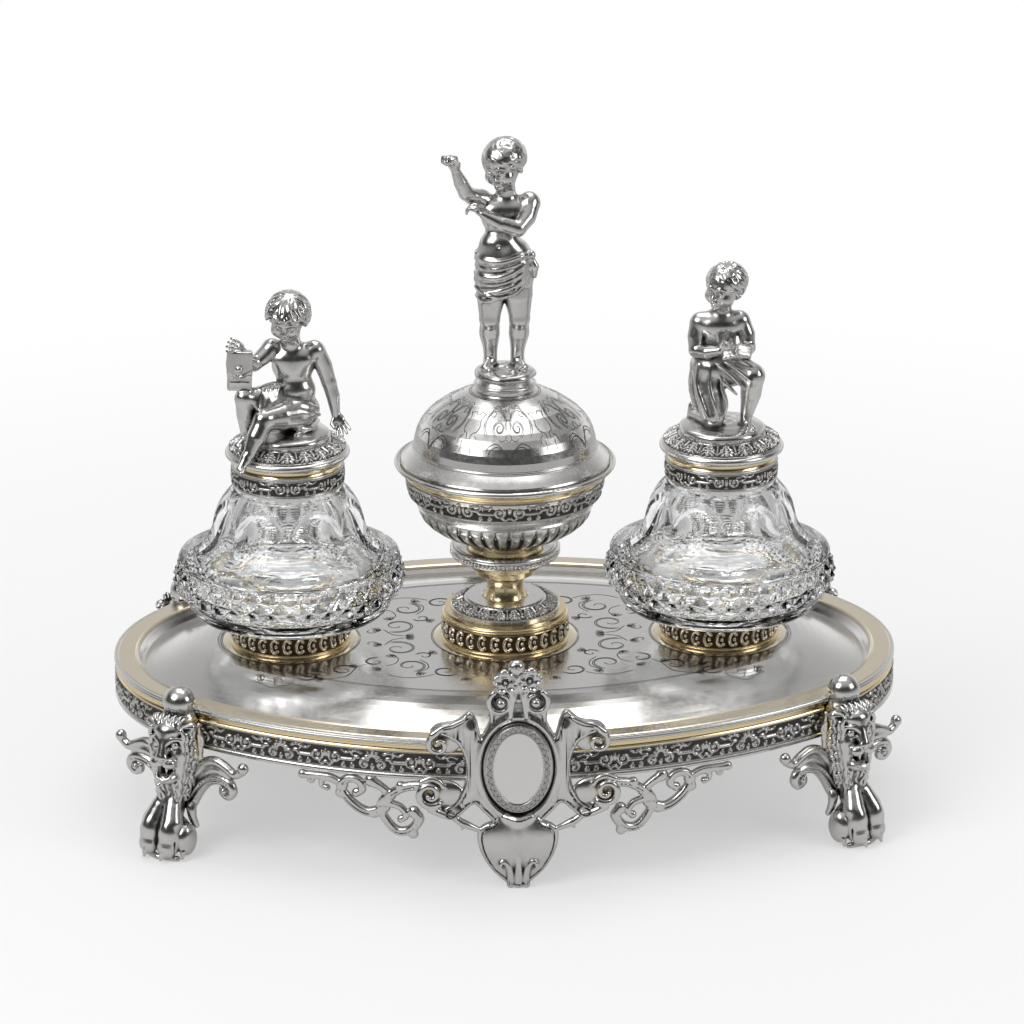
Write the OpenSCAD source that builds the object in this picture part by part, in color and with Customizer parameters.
// Desk inkstand in silver, gilt and cut glass. Millimetres, +Z up, front towards -Y.
// The origin is on the desk, under the middle of the tray.

/* [Tray] */
// Length of the oval tray over its rim
tray_length = 360; // [330:1:390]
// Width of the oval tray over its rim
tray_width = 236; // [220:1:250]
// Height of the top of the rim above the desk
rim_height = 67; // [62:1:76]
// Thickness of the silver sheet of the dish
sheet = 1.2; // [1:0.1:1.8]
// Width of the flat gilt band on the rim
band_width = 9.4; // [7:0.2:12]
// Distance from the rim to the edge of the plateau
plateau_inset = 47; // [42:1:52]
// Height of the plateau above the top of the rim
plateau_rise = 4.2; // [2:0.2:7]
// Depth of the relief band under the rim
frieze_height = 10.5; // [8:0.5:13]

/* [Lion feet] */
// Angle of each foot round its side arc, from the length of the tray
foot_angle = 52.6; // [51.6:0.1:55]
// Turn of the mask towards the end of the tray
mask_turn = 5; // [0:1:10]
// Width of the paw over its two toes
paw_width = 21; // [18:0.5:24]
// Diameter of the knob over the rim
knob_d = 13.5; // [11:0.5:16]

/* [Cartouche] */
// Thickness of the shield plate
shield_t = 3.6; // [3:0.2:5]
// Half width of the medallion
medallion_a = 14.6; // [13:0.2:15.4]
// Half height of the medallion
medallion_b = 20.6; // [19:0.2:21.4]
// Height of the middle of the medallion
medallion_z = 56; // [55:0.5:57]

/* [Inkwells] */
// Distance from the end of the tray to the middle of each inkwell
well_margin = 81.2; // [76:0.2:86]
// Outer radius of the well ring
ring_r = 27.4; // [26.5:0.1:29]
// Height of the well ring above the plateau
ring_height = 11; // [9:0.5:12]
// Radius of the foot of the glass bottle
bottle_foot_r = 23.6; // [22:0.1:24]
// Radius of the bottle at the middle of its diamond band
bottle_r = 51.6; // [48:0.2:54]
// Height of the glass above the plateau, up to the collar
bottle_height = 76.8; // [74:0.2:84]
// Radius of the glass neck under the collar
neck_r = 25; // [24.4:0.1:26.5]
// Bore of the glass neck
neck_bore = 20.3; // [19:0.1:21]
// Diamonds round the cut band
diamonds = 36; // [24:4:36]
// Height of the diamond band
diamond_band = 17.5; // [15:0.5:19]
// Concave panels cut round the shoulder
panels = 8; // [6:2:10]
// Height of the silver collar
collar_height = 9.4; // [8:0.1:11]

/* [Covers of the inkwells] */
// Outer radius of the lid over its bead
lid_r = 28.3; // [27.4:0.1:30]
// Height of the gilt seat under the lid
seat_height = 3.5; // [3:0.1:6]
// Height of the lid from its bead to its top step
lid_height = 9; // [8:0.2:12]
// Radius of the mound that the figure is cast with
mound_r = 15.9; // [15:0.1:17]
// Length of the bezel that plugs the neck
bezel_depth = 9; // [7:0.5:12]

/* [Centre cup] */
// Outer radius of the plinth ring
plinth_r = 29.3; // [28.5:0.1:31]
// Height of the plinth ring above the plateau
plinth_height = 14.8; // [13:0.2:17]
// Height of the stem between step and flange
stem_height = 22.2; // [20:0.2:26]
// Outer radius of the beaded flange
flange_r = 25.3; // [24:0.1:28]
// Radius of the bowl at the gadroons
gadroon_r = 39.5; // [38:0.1:41]
// Gadroons round the bowl
gadroons = 40; // [30:2:44]
// Radius of the bowl at the top of its frieze
bowl_r = 45.9; // [45.2:0.1:47.5]
// Outer radius of the rolled lip
lip_r = 50.4; // [49.8:0.1:53]
// Height of the dome from its bead to its top
dome_height = 28; // [25:0.5:32]
// Outer radius of the dome
dome_r = 41.5; // [40.5:0.1:43]

/* [Hidden] */
$fn = 96;

SILVER = "silver";
GILT = "goldenrod";
DARK = "dimgray";
// Gap left between pieces that lift apart
run_gap = 0.3;
// Gap left between a casting and the curved gallery that it is screwed to
seat_gap = 0.16;
// Gap round a screw or rod in its hole
hole_gap = 0.2;
// A cut runs this far past the faces that it opens
past = 1;

// The oval: two small arcs at the ends and two large ones along the sides. They join in tangent
// on lines that slope 4 in 3, so the centres and radii are 3, 4 and 5 times one step.
half_length = tray_length / 2;
half_width = tray_width / 2;
well_offset = half_length - well_margin;
oval_step = (half_length - half_width) / 2;
end_centre = 3 * oval_step;
side_centre = 4 * oval_step;
end_radius = half_length - end_centre;
side_radius = half_width + side_centre;
wedge = 100;

fillet_w = 1.6;
fillet_h = 2.5;
flange_z = rim_height - 1.3;
plateau_z = rim_height + plateau_rise;
plateau_under = plateau_z - sheet;
channel_z = rim_height - 4.6;
moulding_top = rim_height - fillet_h;
moulding_h = 3.5;
frieze_top = moulding_top - moulding_h;
frieze_bottom = frieze_top - frieze_height;
base_bead_h = 2.5;
gallery_bottom = frieze_bottom - base_bead_h;
frieze_inset = 0.9;
frieze_t = 2;

ring_base_h = 2;
ring_lip_h = 0.9;
ring_bore = bottle_foot_r + run_gap;
ring_screw_circle = (ring_bore + ring_r) / 2;
small_screw_r = 0.9;

glass_top = plateau_z + bottle_height;
collar_top = glass_top + collar_height;
spigot_h = 4.2;
spigot_r = neck_r - 2;
collar_wall = 2.4;
collar_r = neck_r + 0.5;
bezel_r = neck_bore - run_gap;
bezel_t = 1.4;
lid_base = collar_top + seat_height;
lid_top = lid_base + lid_height;
bead_h = 3.5;

band_bottom = plateau_z + ring_height + 12.3;
band_top = band_bottom + diamond_band;
ridge_h = 1.6;

plinth_top = plateau_z + plinth_height;
step_h = 5.5;
step_top = plinth_top + step_h;
flange_bottom = step_top + stem_height - 1.6;
flange_h = 2.6;
// The upturned edge of the flange: its height and the radius of its roll
flange_lip = 4.6;
flange_roll = 1.5;
flange_top = flange_bottom + flange_h;
bowl_collar_h = 5.6;
bowl_bottom = flange_top + bowl_collar_h;
gadroon_top = bowl_bottom + 15.4;
cove_h = 6;
frieze_base = gadroon_top + cove_h;
cup_frieze_h = 9.8;
bowl_top = frieze_base + cup_frieze_h;
lip_h = 6.2;
cup_top = bowl_top + lip_h;
rod_r = 3;
rod_head_r = 7;
bowl_wall = 2.8;
bowl_floor = 2;

skirt_h = 7;
dome_base = cup_top + skirt_h;
dome_top = dome_base + dome_height;
dome_wall = 1.4;
figure_plinth_r = 14.2;
figure_plinth_h = 6;
figure_base = dome_top + figure_plinth_h - 1;
// Radius of the large arc over the dome's crown, and the flat cut on it for the figure's plinth
crown_end = dome_height * 0.72;
crown_r = (pow(dome_r - crown_end, 2) + pow(dome_height, 2) - pow(crown_end, 2)) / (2 * (dome_height - crown_end));
crown_flat_r = sqrt(2 * crown_r - 1);
function crown_drop(r) = crown_r - sqrt(crown_r * crown_r - r * r);

// Points on a smooth curve through p, n to each stretch
function curve(p, n = 5) = [for (i = [0:len(p) - 2]) for (k = [0:n - 1])
    let (a = p[max(i - 1, 0)], b = p[i], c = p[i + 1], d = p[min(i + 2, len(p) - 1)], t = k / n)
    0.5 * (2 * b + (c - a) * t + (2 * a - 5 * b + 4 * c - d) * t * t
        + (3 * b - a - 3 * c + d) * t * t * t), p[len(p) - 1]];

// Unit normal of the curve c at point i
function side(c, i) = let (d = c[min(i + 1, len(c) - 1)] - c[max(i - 1, 0)]) [-d[1], d[0]] / norm(d);

// Points of a spiral from radius r0 to r1 round a centre
function spiral(centre, r0, r1, a0, a1, n = 14) = [for (i = [0:n])
    let (t = i / n, a = a0 + (a1 - a0) * t, r = r0 + (r1 - r0) * t) centre + r * [cos(a), sin(a)]];

// A scroll stem: a strip along a smooth curve that tapers from w0 to w1, with round ends
module stem(p, w0, w1, n = 4) {
    c = curve(p, n);
    m = len(c) - 1;
    w = [for (i = [0:m]) (w0 + (w1 - w0) * i / m) / 2];
    a = side(c, 0);
    b = side(c, m);
    polygon(concat([for (i = [0:m]) c[i] + w[i] * side(c, i)],
        [for (k = [1:3]) c[m] + w[m] * (cos(45 * k) * b + sin(45 * k) * [b[1], -b[0]])],
        [for (i = [m:-1:0]) c[i] - w[i] * side(c, i)],
        [for (k = [1:3]) c[0] + w[0] * (-cos(45 * k) * a - sin(45 * k) * [a[1], -a[0]])]));
}

// Points of an arc of radius r round a centre
function arc(centre, r, a0, a1, n = 6) = [for (i = [0:n]) let (a = a0 + (a1 - a0) * i / n)
    centre + r * [cos(a), sin(a)]];

// Wedge that holds one end arc of the oval, past its outline
end_wedge = [[end_centre, 0], [end_centre + 3 * wedge, 4 * wedge], [end_centre + 3 * wedge, -4 * wedge]];
// Wedge that holds one side arc
side_wedge = [[0, -side_centre], [3 * wedge, 4 * wedge - side_centre], [-3 * wedge, 4 * wedge - side_centre]];

// Area inside the tray's oval, drawn in by inset
module tray_area(inset = 0) {
    for (s = [0, 180]) rotate(s) translate([end_centre, 0]) circle(end_radius - inset, $fn = 96);
    intersection() {
        translate([0, side_centre]) circle(side_radius - inset, $fn = 180);
        translate([0, -side_centre]) circle(side_radius - inset, $fn = 180);
        polygon([[end_centre, 0], [end_centre + 3 * wedge, 4 * wedge], [-end_centre - 3 * wedge, 4 * wedge],
            [-end_centre, 0], [-end_centre - 3 * wedge, -4 * wedge], [end_centre + 3 * wedge, -4 * wedge]]);
    }
}

// Sweeps a profile round the oval; x is the distance out from the rim line and y the height
module sweep_oval() {
    for (s = [0, 180]) rotate([0, 0, s]) {
        intersection() {
            translate([end_centre, 0, 0]) rotate_extrude() translate([end_radius, 0]) children();
            linear_extrude(rim_height * 2) polygon(end_wedge);
        }
        intersection() {
            translate([0, -side_centre, 0]) rotate_extrude($fn = 180)
                translate([side_radius, 0]) children();
            linear_extrude(rim_height * 2) polygon(side_wedge);
        }
    }
}

// Area inside an oval of half axes a and b, a the longer, with end arcs of radius r
module oval_area(a, b, r) {
    e = a - r;
    s = (e * e + b * b - r * r) / (2 * (b - r));
    c = s - b;
    phi = atan2(c, e);
    polygon([for (q = [0:3]) each let (m = [q == 0 || q == 3 ? 1 : -1, q < 2 ? 1 : -1],
        corner = concat(arc([e, 0], r, 0, phi, 5), arc([0, -c], s, phi, 90, 5)))
        [for (i = [0:10]) let (v = corner[q % 2 == 0 ? i : 11 - i]) [m[0] * v[0], m[1] * v[1]]]]);
}

// Places children on a side arc: local -Y points out of the tray and local X along its edge
module on_side_arc(angle, front = true) {
    rotate([0, 0, front ? 0 : 180]) translate([0, side_centre, 0]) rotate([0, 0, angle])
        translate([0, -side_radius, 0]) children();
}

module at_left_well() {
    translate([-well_offset, 0, 0]) children();
}

module at_right_well() {
    translate([well_offset, 0, 0]) children();
}

// A cheese-headed screw that points up from z = 0, with its head below
module screw(r, length, head_r, head_h) {
    cylinder(length, r, r, $fn = 32);
    translate([0, 0, -head_h]) cylinder(head_h, head_r, head_r, $fn = 32);
}

// Height of the dish at a share t of the way from its channel to the plateau
function dish_rise(t) = channel_z + (plateau_z - channel_z) * pow(sin(90 * t), 1.25);
channel_inset = fillet_w + band_width + 3;
dish_steps = 9;
dish_line = [for (i = [0:dish_steps]) let (t = i / dish_steps)
    [-channel_inset - (plateau_inset - channel_inset) * t, dish_rise(t)]];

module tray_dish() {
    flange_in = fillet_w + band_width + 0.4;
    top = concat([[-fillet_w, flange_z], [-flange_in, flange_z], [-flange_in - 1.4, flange_z - 1.6]],
        dish_line);
    n = len(top);
    color(SILVER) difference() {
        union() {
            sweep_oval() polygon(concat(top, [for (i = [n - 1:-1:0]) top[i] - [0, sheet]]));
            translate([0, 0, plateau_under]) linear_extrude(sheet) tray_area(plateau_inset);
        }
        translate([0, 0, plateau_under - past])
            cylinder(sheet + 2 * past, rod_r + hole_gap, rod_r + hole_gap, $fn = 48);
        for (s = [-1, 1]) translate([s * well_offset, 0, plateau_under - past]) ring_screw_holes(sheet);
    }
}

module ring_screw_holes(depth) {
    for (a = [90:120:330]) rotate([0, 0, a]) translate([ring_screw_circle, 0, 0])
        cylinder(depth + 2 * past, small_screw_r + hole_gap / 2, small_screw_r + hole_gap / 2, $fn = 24);
}

module rim_band() {
    color(GILT) sweep_oval() polygon([[-fillet_w, flange_z], [-fillet_w, rim_height - 0.3],
        [-fillet_w - 0.6, rim_height], [-fillet_w - band_width + 1.6, rim_height],
        [-fillet_w - band_width + 0.8, rim_height + 0.45], [-fillet_w - band_width, rim_height],
        [-fillet_w - band_width, flange_z]]);
}

module rim_fillet() {
    reed = fillet_h / 4;
    color(SILVER) sweep_oval() polygon(concat([[-fillet_w, rim_height - 0.2], [-fillet_w, moulding_top]],
        arc([-reed, moulding_top + reed], reed, -90, 56), arc([-reed, rim_height - reed - 0.2], reed, -56, 90)));
}

module gallery_moulding() {
    w = frieze_inset + frieze_t;
    color(GILT) sweep_oval() polygon(concat([[-w, moulding_top], [-w, frieze_top], [-0.3, frieze_top],
        [-0.3, frieze_top + 0.5]], arc([0.9, frieze_top + moulding_h / 2], 1.7, 222, 138, 5),
        [[-0.3, moulding_top - 0.5], [-0.3, moulding_top]]));
}

module gallery_frieze() {
    color(DARK) difference() {
        sweep_oval() translate([-frieze_inset - frieze_t, frieze_bottom]) square([frieze_t, frieze_height]);
        for (f = [true, false]) {
            for (a = [-1, 1]) on_side_arc(a * (90 - foot_angle), f) foot_screw_hole();
            on_side_arc(0, f) foot_screw_hole();
        }
    }
}

screw_z = frieze_bottom + frieze_height / 2;
foot_screw_r = 1.5;
// Gap at the middle of a flat head that bears on a curved face by its edge
head_gap = 0.1;

module foot_screw_hole() {
    translate([0, -past, screw_z]) rotate([-90, 0, 0])
        cylinder(frieze_inset + frieze_t + 2 * past, foot_screw_r + hole_gap, foot_screw_r + hole_gap, $fn = 32);
}

module gallery_screw(reach) {
    translate([0, frieze_inset + frieze_t + head_gap, screw_z]) rotate([90, 0, 0])
        screw(foot_screw_r, frieze_inset + frieze_t + head_gap + reach, 3.2, 1.8);
}

module gallery_base_bead() {
    w = frieze_inset + frieze_t;
    r = base_bead_h / 2;
    color(SILVER) sweep_oval() polygon(concat([[-w, frieze_bottom], [-w, gallery_bottom]],
        arc([-r, gallery_bottom + r], r, -90, 90)));
}

// Lion foot, in the frame of on_side_arc: -Y is out from the gallery

module ball(p, r, n = 8) {
    translate(p) sphere(r, $fn = n);
}

// A limb: a skin over the balls of radius r at a and q at b
module limb(a, r, b, q, n = 8) {
    hull() {
        ball(a, r, n);
        ball(b, q, n);
    }
}

arm_t = 4.2;
arm_y = -1.6;
// The arms start here, in slots at the two sides of the foot
arm_root = 7.6;
arm_drop = 24;

// Scroll arms of a foot: on each side an upturned knob on its stem above a curled volute
module scroll_arms() {
    z = gallery_bottom;
    for (m = [0, 1]) mirror([m, 0, 0]) translate([0, arm_y, 0]) rotate([90, 0, 0])
        linear_extrude(arm_t, center = true) intersection() {
            union() {
                stem([[4, z - 20], [8, z - 12], [13, z - 4.6], [18.5, z - 2.7], [24, z - 5.6], [28.4, z - 8.2],
                    [32.6, z - 5.4]], 4.6, 2.8, 3);
                translate([33.2, z - 3.6]) circle(2.7, $fn = 24);
                stem([[5, z - 24], [10, z - 16], [16, z - 9.6], [22.6, z - 8.8], [26.8, z - 12], [26.4, z - 16.6],
                    [22.4, z - 17.8], [20.6, z - 14.8]], 3.4, 2.2, 3);
            }
            translate([arm_root, z - arm_drop]) square([40, arm_drop]);
        }
}

module lion_foot() {
    paw_y = -15;
    toe = paw_width / 4;
    mask_z = rim_height - 21;
    difference() {
        union() {
            // knob over the rim
            ball([0, -2.5, rim_height + 1.5], knob_d / 2, 12);
            // gilt backing shell against the gallery
            hull() for (z = [gallery_bottom - 2, rim_height - 6]) ball([0, -2, z], 9, 10);
            // mane, brow, muzzle and jaw of the mask, turned a little to the end of the tray
            rotate([0, 0, mask_turn]) {
                limb([0, -8, mask_z + 9], 9.5, [0, -6, mask_z - 14], 6.5, 10);
                limb([0, -13, mask_z + 4], 7.2, [0, -17, mask_z - 1], 4.6);
                limb([0, -12, mask_z - 9], 4.4, [0, -14, mask_z - 11], 3.2, 6);
                for (s = [-1, 1]) limb([s * 8, -7, mask_z + 10], 2.6, [s * 10.5, -6.5, mask_z + 13], 1.4, 6);
            }
            // leg down to the paw
            limb([0, -7, mask_z - 14], 6.5, [0, -9, 22], 5.2);
            for (s = [-1, 1]) {
                hull() {
                    ball([s * toe * 0.6, -9, 21], toe);
                    ball([s * toe, paw_y - 2, 13], toe);
                }
                hull() {
                    ball([s * toe, paw_y - 2, 13], toe);
                    ball([s * toe, paw_y - 5, 4.2], toe * 0.9);
                    ball([s * toe, paw_y + 5, 3.7], toe * 0.8);
                }
            }
            // strap that curls down the back of the leg
            rotate([90, 0, 90]) linear_extrude(6, center = true)
                stem([[-1, gallery_bottom - 6], [1.5, 30], [-0.5, 18], [-6, 9]], 3, 2, 2);
        }
        // open mouth
        rotate([0, 0, mask_turn]) hull() for (y = [-10, -24])
            translate([0, y, mask_z - 5.6]) rotate([0, 90, 0]) cylinder(5.6, 1.6, 1.6, center = true, $fn = 10);
        // slots for the scroll arms
        for (m = [0, 1]) mirror([m, 0, 0])
            translate([arm_root, arm_y - arm_t / 2 - 0.1, gallery_bottom - arm_drop - 0.1])
                cube([20, arm_t + 0.2, arm_drop + 0.2]);
        translate([-30, -40, -10]) cube([60, 60, 10]);
        translate([0, past, screw_z]) rotate([90, 0, 0])
            cylinder(8 + past, foot_screw_r + hole_gap, foot_screw_r + hole_gap, $fn = 12);
    }
}

// Places children at one of the four feet: side is 1 or -1 along X
module at_foot(side, front) {
    m = (side > 0) == front;
    on_side_arc((m ? 1 : -1) * (90 - foot_angle), front) mirror([m ? 0 : 1, 0, 0]) children();
}

// A foot with its seat on the gallery and on the rim
module seated_foot(side, front) {
    color(SILVER) difference() {
        at_foot(side, front) lion_foot();
        translate([0, 0, gallery_bottom - 0.02]) linear_extrude(rim_height - gallery_bottom + 0.04)
            tray_area(-seat_gap);
    }
}

module front_left_lion_foot() {
    seated_foot(-1, true);
}

module front_right_lion_foot() {
    seated_foot(1, true);
}

module rear_left_lion_foot() {
    seated_foot(-1, false);
}

module rear_right_lion_foot() {
    seated_foot(1, false);
}

module front_left_foot_arms() {
    color(SILVER) at_foot(-1, true) scroll_arms();
}

module front_right_foot_arms() {
    color(SILVER) at_foot(1, true) scroll_arms();
}

module rear_left_foot_arms() {
    color(SILVER) at_foot(-1, false) scroll_arms();
}

module rear_right_foot_arms() {
    color(SILVER) at_foot(1, false) scroll_arms();
}

module lion_foot_screws() {
    color(DARK) for (f = [true, false]) for (s = [-1, 1])
        on_side_arc(s * (90 - foot_angle), f) gallery_screw(6);
}

// Cartouche: drawn upright in X and height, then turned to face the front
module shield_outline() {
    for (m = [0, 1]) mirror([m, 0]) difference() {
        polygon(concat([[-0.01, 0], [6.5, 0]],
            curve([[7.3, 1], [12, 7.5], [16.2, 15], [17.3, 21.5], [15.2, 27], [9.6, 30.4]]),
            [[15, 33.5], [19.2, 38.4]],
            curve([[19.4, 36], [23, 32.6], [27, 30.8], [31.5, 31.4], [33.2, 34.4], [38, 36.6],
                [42.2, 42], [41.6, 47.6], [37.6, 50.4], [33.4, 48.6]]),
            curve([[30.5, 43.5], [26, 44.2], [22.6, 49], [21.2, 55], [22.2, 62], [26, 67.6]]),
            curve([[30.4, 66.4], [34.4, 66], [37.4, 69.4], [36.6, 74.4], [32, 77.2], [26, 77.8],
                [22.4, 80.4], [19.8, 82.4], [17.6, 79.6], [15.4, 74.6]]),
            curve([[13.4, 78], [11, 79.8], [12.8, 83.6], [13.4, 87.4], [11, 91.4], [7.4, 92],
                [5.6, 90.8], [-0.01, 90.8]])));
        // kite-shaped opening between lobe and wing
        polygon([[17.9, 37.6], [13.4, 31.4], [18.6, 25.2], [24.6, 31]]);
    }
}

shield_y = -half_width - seat_gap;
medallion_t = 1.6;
lobe_z = 19;

module upright(y) {
    translate([0, y, 0]) rotate([90, 0, 0]) children();
}

module medallion_area(grow = 0) {
    oval_area(medallion_b + grow, medallion_a + grow, 10 + grow);
}

// Half width of the neck that the upper wings grow from; the rear shield has the neck alone
wing_root = 15.4;

module cartouche(wings = true) {
    difference() {
        union() {
            upright(shield_y) linear_extrude(shield_t) difference() {
                shield_outline();
                if (!wings) for (s = [0, 1]) mirror([s, 0])
                    translate([wing_root, rim_height - 2]) square([40, 40]);
            }
            // raised frame round the medallion
            upright(shield_y - shield_t) translate([0, medallion_z]) linear_extrude(1.3)
                rotate(90) medallion_area(2.2);
            // rolled volutes of the wings and of the crest
            for (s = [0, 1]) mirror([s, 0, 0]) upright(shield_y - shield_t) linear_extrude(2.2) {
                stem(spiral([36.8, 43.6], 4.6, 1, 120, -330, 16), 2.6, 1.6, 1);
                if (wings) stem(spiral([32.6, 71.6], 4.4, 1, -120, 330, 16), 2.4, 1.4, 1);
                stem(spiral([8, 86], 4.4, 1, 250, 620, 14), 2.2, 1.4, 1);
            }
            // swollen lower lobe
            intersection() {
                translate([0, shield_y + 16, lobe_z]) sphere(24, $fn = 64);
                upright(shield_y - shield_t + 0.2) linear_extrude(6) oval_area(14, 13, 12.9);
            }
            // leaf pinched in at the toe
            upright(shield_y - shield_t) linear_extrude(5) {
                stem([[-7, 3], [-6.4, 8], [-3.4, 11.6], [0, 13.4], [3.4, 11.6], [6.4, 8], [7, 3]], 2.6, 2.6);
                translate([-2.4, 1.2]) square([4.8, 10]);
            }
        }
        upright(shield_y - shield_t + 0.6) translate([0, medallion_z]) linear_extrude(4)
            rotate(90) medallion_area(0.1);
        translate([0, -half_width + past, screw_z]) rotate([90, 0, 0])
            cylinder(3.2, foot_screw_r + hole_gap, foot_screw_r + hole_gap, $fn = 32);
        translate([-50, shield_y - 30, -10]) cube([100, 60, 10]);
    }
}

module medallion() {
    upright(shield_y - shield_t + 0.6) translate([0, medallion_z]) rotate(90) {
        linear_extrude(medallion_t) medallion_area(0);
        linear_extrude(medallion_t + 0.5) difference() {
            medallion_area(-0.4);
            medallion_area(-3.6);
        }
    }
}

// A five-petalled flower facing the front
module flower(r) {
    for (a = [18:72:306]) translate([r * 0.6 * cos(a), r * 0.6 * sin(a), 0]) sphere(r * 0.46, $fn = 8);
    translate([0, 0, 0.6]) sphere(r * 0.34, $fn = 8);
}

module crest() {
    difference() {
        upright(shield_y - shield_t / 2) {
            linear_extrude(shield_t, center = true) {
                translate([-5.2, 90.9]) square([10.4, 6]);
                stem([[0, 93], [0, 103]], 9, 4);
            }
            for (x = [-5, 5]) translate([x, 97.3, 1.8]) flower(5.4);
            translate([0, 103.4, 0.4]) sphere(3, $fn = 10);
            translate([0, 93.4, 1.9]) sphere(2, $fn = 14);
        }
        upright(shield_y + past) linear_extrude(20) translate([-20, 70]) square([40, 20.85]);
    }
}

module front_cartouche() {
    color(SILVER) cartouche();
}

module rear_cartouche() {
    color(SILVER) rotate([0, 0, 180]) cartouche(false);
}

module front_medallion() {
    color(SILVER) medallion();
}

module rear_medallion() {
    color(SILVER) rotate([0, 0, 180]) medallion();
}

module front_crest() {
    color(SILVER) crest();
}

module rear_crest() {
    color(SILVER) rotate([0, 0, 180]) crest();
}

module cartouche_screws() {
    color(DARK) for (f = [true, false]) on_side_arc(0, f) gallery_screw(1.6);
}

// Openwork scroll under the gallery, drawn from the cartouche outwards in X
bracket_t = 3.2;
bracket_angle = 17.2;

module bracket() {
    mid = side_radius * PI * bracket_angle / 180;
    translate([-mid, bracket_t / 2 + 0.6, gallery_bottom]) rotate([90, 0, 0])
        linear_extrude(bracket_t, center = true) difference() {
            union() {
                stem([[42, -1.2], [50, -3.4], [57, -8], [61, -12.6], [59.6, -19], [54, -25], [47.6, -24],
                    [43.6, -18.6]], 3.2, 5.4);
                stem([[57, -8.4], [62, -5], [65.6, -1.8]], 2.6, 4.4);
                stem([[60, -14.4], [67, -17.6], [74.6, -13.6], [79.4, -6.6], [76, -0.9], [71, -2.8],
                    [69.6, -7.2]], 2.8, 2.2);
                stem([[79, -5.4], [84, -1.3], [90, -1.1], [97, -1.2]], 3, 3);
                stem([[84, -2.4], [88, -4.2], [88, -7.4]], 2.2, 2.2, 3);
                stem([[60, -12], [52.4, -13.6], [49.6, -17.4]], 2.4, 3);
            }
            // flat where it bears on the gallery
            translate([30, 0]) square([80, 10]);
        }
}

module front_right_bracket() {
    color(SILVER) on_side_arc(bracket_angle) bracket();
}

module front_left_bracket() {
    color(SILVER) on_side_arc(-bracket_angle) mirror([1, 0, 0]) bracket();
}

module rear_left_bracket() {
    color(SILVER) on_side_arc(bracket_angle, false) bracket();
}

module rear_right_bracket() {
    color(SILVER) on_side_arc(-bracket_angle, false) mirror([1, 0, 0]) bracket();
}

// Ring with a moulded base and lip; the band between them is set back
module moulded_ring(r, bore, height, base_h, lip_h) {
    rotate_extrude() difference() {
        union() {
            translate([bore, 0]) square([r - 0.8 - bore, height]);
            translate([bore, 0]) square([r - bore, base_h * 0.5]);
            translate([r - base_h * 0.25, base_h * 0.5]) circle(base_h * 0.25, $fn = 24);
            translate([bore, height - lip_h]) square([r - 0.2 - bore, lip_h]);
        }
        translate([bore - 4, 0]) square([4, height]);
    }
}

module well_ring() {
    difference() {
        translate([0, 0, plateau_z]) moulded_ring(ring_r, ring_bore, ring_height, ring_base_h, ring_lip_h);
        translate([0, 0, plateau_z - past]) ring_screw_holes(ring_base_h - past);
    }
}

module left_well_ring() {
    color(GILT) at_left_well() well_ring();
}

module right_well_ring() {
    color(GILT) at_right_well() well_ring();
}

module ring_screws() {
    color(DARK) for (s = [-1, 1]) translate([s * well_offset, 0, plateau_under])
        for (a = [90:120:330]) rotate([0, 0, a]) translate([ring_screw_circle, 0, 0])
            screw(small_screw_r, sheet + ring_base_h - 0.4, 1.6, 1);
}

// Centre cup

module rod_bore(z0, z1) {
    translate([0, 0, z0 - past])
        cylinder(z1 - z0 + 2 * past, rod_r + hole_gap, rod_r + hole_gap, $fn = 48);
}

module plinth_ring() {
    color(GILT) difference() {
        translate([0, 0, plateau_z]) {
            moulded_ring(plinth_r, 20, plinth_height - 4, ring_base_h, 0.6);
            translate([0, 0, plinth_height - 4]) rotate_extrude() {
                translate([0, 0]) square([plinth_r - 1.4, 4]);
                translate([plinth_r - 1.4, 1.2]) circle(1.2, $fn = 24);
                translate([plinth_r - 2.4, 3]) circle(1, $fn = 24);
            }
        }
        rod_bore(plateau_z, plinth_top);
    }
}

module leaf_step() {
    color(SILVER) difference() {
        translate([0, 0, plinth_top]) rotate_extrude() polygon([[0, 0], [25, 0], [25, 1], [24.2, 1.6],
            [19, 4.4], [17.8, 4.6], [17.8, step_h], [11, step_h], [10.2, step_h - 0.8], [0, step_h - 0.8]]);
        rod_bore(plinth_top, step_top);
    }
}

module cup_stem() {
    base = step_top - 0.8;
    color(GILT) difference() {
        rotate_extrude() polygon(concat([[0, base], [10, base]],
            curve([[10, base + 0.6], [8.9, base + 3.2], [8.4, base + 7], [9.6, base + 10.4], [13.2, base + 12]]),
            [[13.7, base + 12.4], [13.7, base + 14.6], [17, base + 16.2], [17, flange_bottom],
                [0, flange_bottom]]));
        rod_bore(base, flange_bottom);
    }
}

module beaded_flange() {
    color(SILVER) difference() {
        translate([0, 0, flange_bottom]) rotate_extrude() {
            polygon([[0, 0], [flange_r - 5, 0], [flange_r - 4.4, -0.8], [flange_r - 1.4, -0.8],
                [flange_r - 1.4, flange_lip - 0.6], [flange_r - 3.2, flange_lip - 0.2],
                [flange_r - 5, flange_h + 0.2], [flange_r - 8, flange_h], [0, flange_h]]);
            translate([flange_r - flange_roll, flange_lip - flange_roll]) circle(flange_roll, $fn = 32);
            translate([flange_r - 1.4, -0.1]) circle(0.7, $fn = 24);
        }
        rod_bore(flange_bottom, flange_top);
    }
}

module bowl_collar() {
    color(GILT) difference() {
        translate([0, 0, flange_top]) rotate_extrude() polygon([[0, 0], [16.4, 0], [17.4, 0.8],
            [16.6, 2], [17.6, 4.4], [19, bowl_collar_h], [0, bowl_collar_h]]);
        rod_bore(flange_top, bowl_bottom);
    }
}

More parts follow.
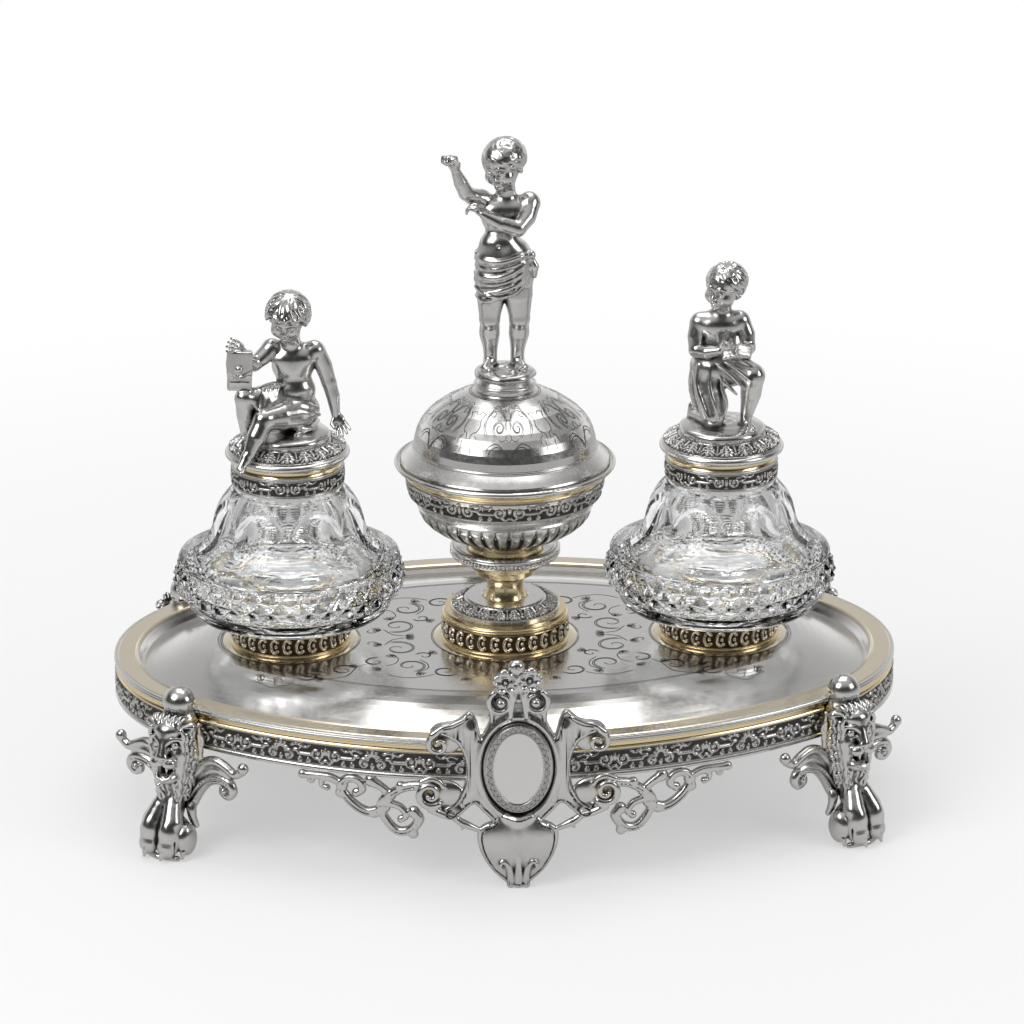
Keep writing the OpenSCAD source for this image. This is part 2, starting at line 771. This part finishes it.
// Radius of the gadrooned skin: each lobe stands out by up to swell between two grooves
function gadroon_line(t) = 19 + (gadroon_r - 19) * sin(90 * pow(t, 0.8));
gadroon_points = 2;
gadroon_rows = 4;

module gadroon_ring() {
    n = gadroons * gadroon_points;
    swell = 1.1;
    points = [for (k = [0:gadroon_rows]) for (i = [0:n - 1])
        let (t = k / gadroon_rows, a = 360 * i / n,
            lobe = (i % gadroon_points == 0) ? -swell : 0,
            r = gadroon_line(t) + lobe * sin(180 * min(t * 1.2, 0.98)) * 1.2)
        [r * cos(a), r * sin(a), bowl_bottom + (gadroon_top - bowl_bottom) * t]];
    sides = [for (k = [0:gadroon_rows - 1]) for (i = [0:n - 1]) each
        let (a = k * n + i, b = k * n + (i + 1) % n) [[a, b + n, b], [a, a + n, b + n]]];
    polyhedron(points, concat(sides, [[for (i = [0:n - 1]) i]],
        [[for (i = [n - 1:-1:0]) gadroon_rows * n + i]]), convexity = 4);
}

// Point inside the gadrooned skin, one wall in from it at a share t of its height
function inner_skin(t) = let (h = gadroon_top - bowl_bottom, step = 0.02,
    d = [gadroon_line(t + step) - gadroon_line(t - step), 2 * step * h])
    [gadroon_line(t), bowl_bottom + h * t] + bowl_wall * [-d[1], d[0]] / norm(d);
bowl_mouth_r = bowl_r - bowl_wall - 1;

// The hollow of the bowl: a flat floor for the head of the rod, then one wall inside the skin
module bowl_inside() {
    floor_z = bowl_bottom + bowl_floor;
    rotate_extrude() polygon(concat([[0, floor_z], [16, floor_z]],
        [for (t = [0.14, 0.3, 0.5, 0.7, 0.9]) inner_skin(t)],
        [[gadroon_r + 0.6 - bowl_wall, gadroon_top + 2.2], [bowl_r - 2.9 - bowl_wall, frieze_base],
            [bowl_mouth_r, bowl_top], [bowl_mouth_r, bowl_top + past], [0, bowl_top + past]]));
}

module bowl() {
    color(SILVER) difference() {
        union() {
            gadroon_ring();
            rotate_extrude() polygon(concat([[0, gadroon_top - past], [gadroon_r - 3, gadroon_top - past],
                [gadroon_r - 3, gadroon_top], [gadroon_r + 0.3, gadroon_top],
                [gadroon_r + 0.9, gadroon_top + 0.8], [gadroon_r + 0.4, gadroon_top + 1.6]],
                curve([[gadroon_r + 0.6, gadroon_top + 2.2], [gadroon_r + 1.6, gadroon_top + 4.2],
                    [bowl_r - 2.9, frieze_base - 0.4]]),
                [[bowl_r - 2.2, frieze_base], [bowl_r - 1.4, frieze_base + 4], [bowl_r - 0.4, bowl_top - 1],
                    [bowl_r, bowl_top], [0, bowl_top]]));
        }
        bowl_inside();
        rod_bore(bowl_bottom, bowl_bottom + 4);
    }
}

module bowl_rim() {
    r = bowl_mouth_r;
    color(GILT) rotate_extrude() difference() {
        union() {
            polygon(concat([[r, bowl_top], [bowl_r, bowl_top]],
                curve([[bowl_r - 0.4, bowl_top + 0.6], [bowl_r + 0.4, bowl_top + 2.6],
                    [lip_r - 1.6, cup_top - 2.4]]),
                [[lip_r - 1.2, cup_top - 1.2], [r, cup_top - 1.2]]));
            translate([lip_r - 1.2, cup_top - 1.2]) circle(1.2, $fn = 32);
        }
        // step that the cover's skirt sits in
        translate([r - 1, cup_top - 2]) square([skirt_r - r + 1 + run_gap, 4]);
        translate([skirt_r + run_gap - 0.01, cup_top - 1.2]) square([1.2, 2]);
    }
}

skirt_r = lip_r - 2.7;
rod_foot = plateau_under - 9;

module tie_rod() {
    color(DARK) {
        translate([0, 0, rod_foot]) cylinder(bowl_bottom + bowl_floor - rod_foot, rod_r, rod_r, $fn = 48);
        translate([0, 0, bowl_bottom + bowl_floor]) rotate_extrude() intersection() {
            translate([0, -3]) circle(norm([rod_head_r, 3]), $fn = 48);
            square([rod_head_r + 1, 6]);
        }
    }
}

module tie_rod_nut() {
    color(DARK) translate([0, 0, plateau_under - 6.5]) difference() {
        union() {
            cylinder(5, 6.4, 6.4, $fn = 6);
            translate([0, 0, 5]) cylinder(1.5, 9, 9, $fn = 48);
        }
        translate([0, 0, -past]) cylinder(6.5 + 2 * past, rod_r + 0.05, rod_r + 0.05, $fn = 48);
    }
}

// Cut-glass bottle: the diamond band is a lattice of low pyramids

diamond_rows = 4;

// Radius of the band's valleys at a share t of its height
function band_line(t) = bottle_r - 4.4 + 4.6 * sin(180 * pow(t, 0.8)) + 2.4 * t;

module diamond_belt() {
    n = 2 * diamonds;
    peak = 1.5;
    points = [for (k = [0:diamond_rows]) for (i = [0:n - 1])
        let (t = k / diamond_rows, a = 360 * i / n,
            r = band_line(t) + ((i + k) % 2 == 0 && k > 0 && k < diamond_rows ? peak : 0))
        [r * cos(a), r * sin(a), band_bottom + diamond_band * t]];
    sides = [for (k = [0:diamond_rows - 1]) for (i = [0:n - 1]) each
        let (a = k * n + i, b = k * n + (i + 1) % n, odd = (i + k) % 2)
        odd == 1 ? [[a, a + n, b], [b, a + n, b + n]] : [[a, b + n, b], [a, a + n, b + n]]];
    polyhedron(points, concat(sides, [[for (i = [0:n - 1]) i]],
        [[for (i = [n - 1:-1:0]) diamond_rows * n + i]]), convexity = 4);
}

// Shoulder with concave panels that run up from the ridge and end in arches under the neck
shoulder_bottom = band_top + ridge_h;
shoulder_top = glass_top - 3;
panel_points = 5;
shoulder_rows = 6;
function shoulder_line(t) = neck_r + 1.4 + (bottle_r - 3.2 - neck_r) * pow(1 - t, 3.2)
    + 6.2 * sin(180 * pow(t, 1.5));

module fluted_shoulder() {
    n = panels * panel_points;
    points = [for (k = [0:shoulder_rows]) for (i = [0:n - 1])
        let (t = k / shoulder_rows, a = 360 * i / n, u = (i % panel_points) / panel_points,
            depth = (2.4 - t) * sin(180 * u) * sqrt(max(0, sin(180 * min(1, t * 1.04)))),
            r = shoulder_line(t) - depth)
        [r * cos(a), r * sin(a), shoulder_bottom + (shoulder_top - shoulder_bottom) * t]];
    sides = [for (k = [0:shoulder_rows - 1]) for (i = [0:n - 1]) each
        let (a = k * n + i, b = k * n + (i + 1) % n) [[a, b + n, b], [a, a + n, b + n]]];
    polyhedron(points, concat(sides, [[for (i = [0:n - 1]) i]],
        [[for (i = [n - 1:-1:0]) shoulder_rows * n + i]]), convexity = 4);
}

module bottle() {
    ring_top = plateau_z + ring_height;
    difference() {
        union() {
            rotate_extrude() polygon(concat([[0, plateau_z], [bottle_foot_r - 0.8, plateau_z],
                [bottle_foot_r, plateau_z + 0.8], [bottle_foot_r, ring_top + 0.6]],
                curve([[bottle_foot_r + 1.4, ring_top + 1.6], [33, ring_top + 2.6], [bottle_r - 9.4, ring_top + 4.8],
                    [bottle_r - 5.4, ring_top + 8], [band_line(0) + 0.2, band_bottom]]),
                [[band_line(0) - 3, band_bottom], [band_line(0) - 3, band_bottom + 1], [0, band_bottom + 1]]));
            diamond_belt();
            translate([0, 0, band_top]) rotate_extrude() polygon(concat([[0, -1], [band_line(1) - 3, -1],
                [band_line(1) - 3, 0]], arc([band_line(1) - 0.2, ridge_h / 2], ridge_h / 2, -60, 60),
                [[shoulder_line(0) - 4, ridge_h], [shoulder_line(0) - 4, ridge_h + 1], [0, ridge_h + 1]]));
            fluted_shoulder();
            translate([0, 0, shoulder_top]) cylinder(glass_top - shoulder_top, neck_r, neck_r);
            translate([0, 0, glass_top]) cylinder(spigot_h, spigot_r, spigot_r);
        }
        rotate_extrude() polygon(concat([[0, plateau_z + ring_height + 4.4]],
            curve([[22, plateau_z + ring_height + 4.4], [bottle_r - 11, band_bottom + 0.5],
                [bottle_r - 7.4, band_bottom + 7.5], [bottle_r - 9, band_top - 1], [bottle_r - 17, band_top + 7],
                [neck_r + 2, shoulder_top - 12], [neck_bore + 2, shoulder_top - 3], [neck_bore, glass_top - 1]]),
            [[neck_bore, glass_top + spigot_h + past], [0, glass_top + spigot_h + past]]));
    }
}

module left_bottle() {
    color("lightcyan", 0.5) at_left_well() bottle();
}

module right_bottle() {
    color("lightcyan", 0.5) at_right_well() bottle();
}

module collar() {
    translate([0, 0, glass_top]) rotate_extrude() difference() {
        union() {
            square([collar_r, collar_height]);
            translate([collar_r - 0.5, 0.5]) circle(0.6, $fn = 24);
            translate([collar_r - 0.5, collar_height - 0.6]) circle(0.6, $fn = 24);
        }
        translate([-past, -past]) square([spigot_r + 0.1 + past, past + spigot_h + 0.1]);
        translate([-past, -past]) square([neck_bore + past, collar_height + 2 * past]);
        translate([0, -2]) square([collar_r + 2, 2]);
        translate([0, collar_height]) square([collar_r + 2, 2]);
    }
}

module left_collar() {
    color(SILVER) at_left_well() collar();
}

module right_collar() {
    color(SILVER) at_right_well() collar();
}

// Cover of an inkwell

lid_step_r = 19.2;
stud_r = 1.6;

module bezel() {
    translate([0, 0, collar_top]) rotate_extrude() difference() {
        union() {
            translate([bezel_r - bezel_t, -bezel_depth]) square([bezel_t, bezel_depth + seat_height]);
            translate([bezel_r - bezel_t, 0]) square([collar_r - 0.8 - bezel_r + bezel_t, seat_height]);
        }
        translate([collar_r + 1.4, seat_height / 2]) circle(2.8, $fn = 32);
    }
}

module cover() {
    color(SILVER) difference() {
        translate([0, 0, lid_base]) rotate_extrude() {
            polygon([[0, 0], [lid_r - bead_h / 2, 0], [lid_r - bead_h / 2, bead_h], [lid_r - 1.6, bead_h + 0.7],
                [lid_step_r + 0.6, lid_height - 1.4], [lid_step_r, lid_height - 1.3],
                [lid_step_r, lid_height], [0, lid_height]]);
            translate([lid_r - bead_h / 2, bead_h / 2]) circle(bead_h / 2, $fn = 32);
        }
        translate([0, 0, lid_base - past]) rotate_extrude()
            polygon([[0, 0], [bezel_r - bezel_t, 0], [bezel_r - bezel_t, past + 2.4], [12, past + lid_height - 3],
                [0, past + lid_height - 3]]);
        translate([0, 0, lid_top - 4]) cylinder(6, stud_r + hole_gap, stud_r + hole_gap, $fn = 32);
    }
}

module figure_screw(under, reach) {
    color(DARK) translate([0, 0, under]) screw(stud_r, reach, 3.4, 1.8);
}

// A low mound under a figure, flat below
module mound(r, h) {
    rotate_extrude($fn = 20) polygon([for (p = [[0, 0], [r, 0], [r, h * 0.12], [r * 0.82, h * 0.46],
        [r * 0.5, h * 0.82], [0, h]]) p]);
}

module left_cover() {
    at_left_well() cover();
}

module right_cover() {
    at_right_well() cover();
}

module left_bezel() {
    color(GILT) at_left_well() bezel();
}

module right_bezel() {
    color(GILT) at_right_well() bezel();
}

module seated_figure_screw() {
    at_left_well() figure_screw(lid_top - 3, 5.4);
}

module kneeling_figure_screw() {
    at_right_well() figure_screw(lid_top - 3, 5.4);
}

// Child figures, each placed from the middle of its own base; -Y is the front.
// Every limb is a skin over two balls, so knees, elbows and heels keep their roundness.

module seated_figure() {
    color(SILVER) at_left_well() difference() {
        translate([0, 0, lid_top]) {
            mound(mound_r, 5.2);
            // head and cap of hair
            ball([1, -4, 58], 8.8, 10);
            limb([0.4, -2, 62.4], 9.6, [0.4, -1, 59.6], 10.8, 10);
            limb([2, -1, 46], 4.6, [1.5, -3, 52], 4.4);
            // trunk, bent forward a little
            limb([3, 0, 38], 8.6, [4, 2, 16], 9.4, 10);
            limb([-5.6, 0, 43], 4.2, [12.6, 0.6, 40.4], 4.4);
            ball([5.4, 3, 11.5], 9.4, 10);
            // arm on the satchel
            limb([-6.4, 0, 42.6], 4, [-14, -5, 36.6], 3.3);
            limb([-14, -5, 36.6], 3.2, [-19.8, -9.6, 43], 2.6);
            ball([-20.2, -10.6, 45.2], 3.2, 6);
            translate([-26, -13.4, 26.2]) rotate([0, 3, 0]) cube([11, 4.2, 18.4]);
            // arm that hangs at the side
            limb([13.4, 0.6, 39.6], 4.2, [18.6, 1, 25], 3.2);
            limb([18.6, 1, 25], 3.2, [21.8, 0, 11.4], 2.3);
            limb([23, -0.6, 8.4], 2.6, [28, -1.6, 2.8], 1.4, 6);
            // raised leg
            limb([-0.6, -3, 14.6], 7.6, [-18.6, -11.4, 22], 5.2);
            limb([-18.6, -11.4, 21.6], 5.2, [-18.4, -9.4, 5], 3.2);
            limb([-18.4, -8.6, 2.6], 2.9, [-24, -12.6, -1.6], 1.9, 6);
            // leg that crosses in front and over the edge of the lid
            limb([2, -5, 12.6], 7.4, [-9.6, -16.4, 13.4], 5.4);
            limb([-9.6, -16.4, 13.4], 5.3, [-17, -22, -1], 3.2);
            limb([-17.6, -22.6, -3.6], 3, [-21.8, -25.6, -8.2], 2.3, 6);
            // drapery over the thigh
            hull() {
                ball([-6, -4, 24], 4);
                ball([-12, -10, 24.4], 3.2);
                ball([-9, -13.4, 12], 3.2);
                ball([-4, -9, 9], 3.6);
            }
        }
        // seat on the lid, and clear of its sloping band and bead
        translate([0, 0, lid_base - 1]) cylinder(lid_height + 1, mound_r + 3.4, mound_r + 3.4, $fn = 24);
        translate([0, 0, lid_base - 12]) cylinder(12 + bead_h, lid_r + run_gap, lid_r + run_gap, $fn = 32);
        translate([0, 0, lid_base + bead_h]) cylinder(lid_height - bead_h - 1.2, lid_r + run_gap, lid_step_r, $fn = 32);
        translate([0, 0, lid_top - past]) cylinder(4, stud_r + hole_gap, stud_r + hole_gap, $fn = 16);
    }
}

module kneeling_figure() {
    color(SILVER) at_right_well() difference() {
        translate([0, 0, lid_top]) {
            mound(mound_r, 5.2);
            ball([0, -2, 68.6], 8.2, 10);
            limb([1, 0.4, 70.4], 9.4, [1.4, 1, 67.4], 8.8, 10);
            limb([-1.4, -0.6, 56], 4.3, [-0.4, -1, 62], 4.2);
            // trunk
            limb([-1.8, 0, 48], 8.2, [-3.6, 1, 33], 8.4, 10);
            limb([-10, 0, 51.4], 4.1, [6.6, 0, 52.4], 4.1);
            // arms bent to the book
            limb([-11, 0, 50.8], 3.9, [-12, -2.8, 38.6], 3.3);
            limb([-12, -3, 38.4], 3.1, [-1, -11.6, 41], 2.4);
            limb([7.6, 0, 51.6], 3.9, [10.6, -2, 39.4], 3.2);
            limb([10.6, -2.4, 39.2], 3, [4.6, -11, 42.6], 2.4);
            ball([1.6, -12.4, 42.6], 3, 6);
            translate([5, -12.8, 39.6]) rotate([24, 0, -8]) cube([11.4, 8.4, 2.6], center = true);
            // thigh and knee on the ground, shin and foot behind, under the drapery
            limb([-6, 0, 30], 8.6, [-3, -7, 7.4], 6.2, 10);
            limb([-4, -5, 6.4], 5, [-10.4, 9, 4.4], 3.4);
            limb([-10.4, 9, 4.4], 3.2, [-12.6, 10, 1.4], 2.4, 6);
            // raised knee
            limb([1, 0, 28], 8, [13.6, -9.6, 29], 5.8, 10);
            limb([13.6, -9.6, 28.6], 5.6, [10.4, -7.4, 10.6], 3.5);
            limb([9.6, -5, 5.4], 3.2, [13.8, -11, 1.6], 2.2, 6);
            limb([10.4, -7.4, 10.6], 3.4, [9.8, -5.4, 4.6], 3.2, 6);
            // drapery between the thighs
            hull() {
                ball([-2, -4, 28], 6);
                ball([6, -6, 26], 4);
                ball([2, -7, 10], 3.4);
                ball([6, -4, 12], 3);
            }
        }
        translate([0, 0, lid_base]) cylinder(lid_height, lid_r, lid_r, $fn = 24);
        translate([0, 0, lid_top - past]) cylinder(4, stud_r + hole_gap, stud_r + hole_gap, $fn = 16);
    }
}

module standing_figure() {
    color(SILVER) difference() {
        translate([0, 0, figure_base]) {
            // head with curly hair, looking down to its raised arm
            ball([-1.2, -2.4, 99.4], 8.4, 10);
            limb([1, -0.6, 101.6], 10, [2.2, 0.6, 98.4], 9.4, 10);
            limb([1.4, 0, 84.6], 4.6, [0.6, -0.6, 92], 4.4);
            // trunk
            limb([-0.8, 0, 76], 8.6, [-2.6, 0, 56], 9.2, 10);
            limb([-9, 0, 82.4], 4.4, [8.8, 0, 81], 4.6);
            // raised arm with its fist
            limb([-10.4, -0.6, 83], 4.2, [-17, -5, 86.4], 3.5);
            limb([-17, -5, 86.4], 3.5, [-22, -8, 98], 2.6);
            ball([-24.6, -9, 102.8], 4.2, 10);
            // arm across the chest
            limb([10.6, 0, 80.4], 4.3, [5.2, -10, 71.4], 3.7);
            limb([5.2, -10, 71.4], 3.7, [-10, -10.6, 78], 2.7);
            limb([-10.6, -10.4, 78.4], 2.8, [-14.6, -9.6, 82.4], 2.9, 6);
            // legs
            limb([-5.6, 0, 44], 8, [-6.6, -1.4, 27.6], 5.4);
            limb([5.2, 0, 44], 8, [6.4, -1, 27], 5.4);
            limb([-6.6, -1.2, 26], 5.2, [-6.4, 0.4, 10], 3.2);
            limb([6.4, -0.8, 25.4], 5.2, [5.6, 1.4, 10], 3.2);
            limb([-6.4, 0.6, 9.6], 3.2, [-6.6, 1.4, 3], 3.2, 6);
            limb([5.6, 1.6, 9.6], 3.2, [5.8, 2.4, 3], 3.2, 6);
            limb([-6.8, 1, 2.4], 3, [-10.6, -8, 1.4], 2.2, 6);
            limb([6, 1.8, 2.4], 3, [9.4, -6.4, 1.4], 2.2, 6);
            // cloth round the hips with its knot
            hull() {
                limb([-3, 0, 55], 11, [3, 0, 55], 9, 10);
                limb([-5, 0, 43], 9.6, [4, 0, 45], 9.6, 10);
            }
            limb([11, -1, 54], 2.6, [13.4, -1, 49.4], 1.8, 6);
        }
        translate([-30, -30, figure_base - 20]) cube([60, 60, 20]);
    }
}

module dome() {
    color(SILVER) difference() {
        translate([0, 0, dome_base]) rotate_extrude() difference() {
            intersection() {
                oval_area(dome_r, dome_height, crown_end);
                square([dome_r + 1, dome_height + 1]);
            }
            oval_area(dome_r - dome_wall, dome_height - dome_wall, crown_end - dome_wall);
        }
        translate([0, 0, dome_top - 4]) cylinder(8, stud_r + hole_gap, stud_r + hole_gap, $fn = 32);
        translate([0, 0, dome_top - 1]) cylinder(4, crown_flat_r + 1, crown_flat_r + 1);
    }
}

module dome_skirt() {
    inner = dome_r - 2.4;
    seat = cup_top - 2;
    color(SILVER) rotate_extrude() {
        polygon(concat([[inner, dome_base], [inner, seat], [skirt_r - 1.6, seat], [skirt_r, seat + 0.8],
            [skirt_r, cup_top + 0.4]],
            curve([[skirt_r - 0.4, cup_top + 1.2], [dome_r + 3.4, cup_top + 3.4], [dome_r + 0.6, dome_base - 1.4]]),
            [[dome_r + 0.6, dome_base]]));
        translate([dome_r, dome_base - 0.8]) circle(0.8, $fn = 24);
    }
}

module figure_plinth() {
    h = figure_base - dome_top + 1;
    color(SILVER) difference() {
        translate([0, 0, dome_top - 1]) rotate_extrude() {
            polygon([[0, 0], [crown_flat_r, 0],
                [figure_plinth_r - 1, 1.05 - crown_drop(figure_plinth_r - 1)],
                [figure_plinth_r - 1, 3], [figure_plinth_r - 3, h], [0, h]]);
            translate([figure_plinth_r - 1, 2]) circle(1, $fn = 24);
        }
        translate([0, 0, dome_top - 4]) cylinder(h + 8, stud_r + hole_gap, stud_r + hole_gap, $fn = 32);
    }
}

module standing_figure_screw() {
    figure_screw(dome_top - 1.6 - head_gap, 4.4 + head_gap);
}

tray_dish();
rim_band();
rim_fillet();
gallery_moulding();
gallery_frieze();
gallery_base_bead();
front_left_lion_foot();
front_right_lion_foot();
rear_left_lion_foot();
rear_right_lion_foot();
front_left_foot_arms();
front_right_foot_arms();
rear_left_foot_arms();
rear_right_foot_arms();
lion_foot_screws();
front_cartouche();
rear_cartouche();
front_medallion();
rear_medallion();
front_crest();
rear_crest();
cartouche_screws();
front_left_bracket();
front_right_bracket();
rear_left_bracket();
rear_right_bracket();
left_well_ring();
right_well_ring();
ring_screws();
plinth_ring();
leaf_step();
cup_stem();
beaded_flange();
bowl_collar();
bowl();
bowl_rim();
tie_rod();
tie_rod_nut();
left_bottle();
left_collar();
right_bottle();
right_collar();
left_cover();
left_bezel();
seated_figure();
seated_figure_screw();
right_cover();
right_bezel();
kneeling_figure();
kneeling_figure_screw();
dome();
dome_skirt();
figure_plinth();
standing_figure();
standing_figure_screw();
